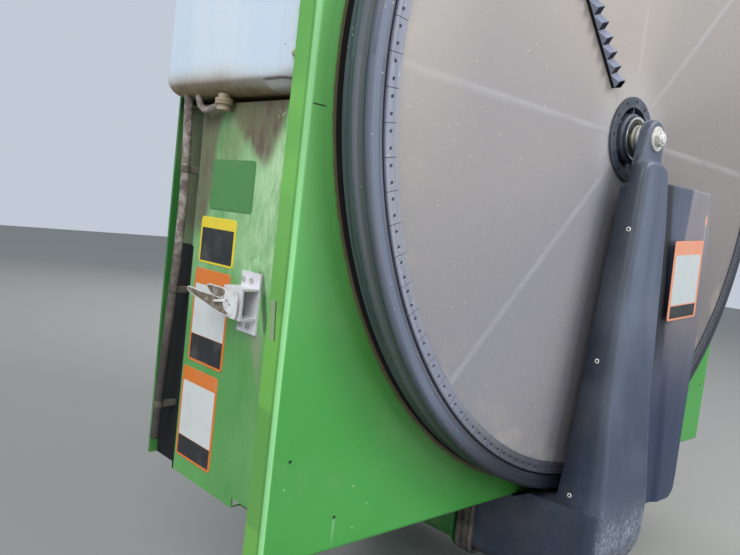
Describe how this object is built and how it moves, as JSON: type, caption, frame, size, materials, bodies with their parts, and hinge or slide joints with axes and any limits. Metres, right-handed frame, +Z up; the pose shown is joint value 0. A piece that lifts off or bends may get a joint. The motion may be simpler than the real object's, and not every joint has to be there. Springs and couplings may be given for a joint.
{
  "type": "rotary cooling-air screen unit of a combine harvester",
  "caption": "Hinged green door with a round rotating air screen, suction ducts in front of it, and a shallow air housing behind with a side coolant tank and latch.",
  "frame": {"origin": "middle of the bolt rectangle on the rear mounting plane, on the screen's axis", "axes": "+Y out of the rear mounting face into the machine, +Z up, +X along the screen to its hinge side"},
  "size_m": [1.3897, 0.556, 1.477],
  "materials": {
    "green_paint": "semi-gloss green paint, dusty and scuffed",
    "drum_grey": "weathered dark grey moulding",
    "screen_cloth": "fine dusty wire weave",
    "dark_steel": "dark painted steel, dusty",
    "bright_steel": "machined steel",
    "strip_plastic": "dark blue-grey moulded plastic",
    "zinc": "dull zinc plate",
    "brush_fibre": "black bristles with rusty dust",
    "duct_plastic": "slate grey moulding, scuffed at its foot",
    "rubber": "dusty black rubber",
    "foam": "closed-cell black foam",
    "tank_plastic": "milky translucent plastic with brown silt low down",
    "cap_plastic": "black moulded cap",
    "fitting": "dusty pale moulded fitting"
  },
  "bodies": {
    "housing": {"front_frame": "green_paint", "door_seal": "foam", "left_wall_foot": "green_paint", "left_wall_top": "green_paint", "right_wall": "green_paint", "housing_roof": "green_paint", "housing_floor": "green_paint", "rear_frame": "green_paint", "tank_niche": "green_paint", "coolant_tank": "tank_plastic", "tank_cap": "cap_plastic", "drain_neck": "fitting", "overflow_hose": "rubber", "hose_clips": "zinc", "latch_base": "zinc", "latch_lever": "zinc", "suction_inlet": "duct_plastic", "inlet_hanger": "dark_steel", "hinge_bracket_lower": "green_paint", "hinge_bracket_upper": "green_paint"},
    "door": {"door_sheet_upper": "green_paint", "door_sheet_lower": "green_paint", "door_crossbar": "green_paint", "door_upright_top": "green_paint", "door_upright_foot": "green_paint", "door_striker": "zinc", "brush_seal": "brush_fibre", "spindle": "bright_steel", "spindle_spacer": "zinc", "spindle_bolt": "zinc", "suction_arm": "duct_plastic", "second_duct": "duct_plastic", "duct_boot": "duct_plastic", "boot_bracket": "dark_steel", "outlet_bellows": "rubber", "hinge_leaf_lower": "green_paint", "hinge_leaf_upper": "green_paint"},
    "rotor": {"drum_rim": "drum_grey", "drum_wall": "drum_grey", "screen_mesh": "screen_cloth", "clamp_band": "drum_grey", "rotor_spokes": "dark_steel", "rotor_hub": "drum_grey", "bearing_cap": "bright_steel", "toothed_strip": "strip_plastic"}
  },
  "joints": [
    {"name": "door_hinge", "type": "hinge", "parent": "housing", "child": "door", "pos_m": [0.69, -0.346, 0], "axis": [0, 0, 1], "range_deg": [0, 100]},
    {"name": "screen_spin", "type": "hinge", "parent": "door", "child": "rotor", "pos_m": [0, -0.45, 0], "axis": [0, 1, 0], "continuous": true}
  ]
}
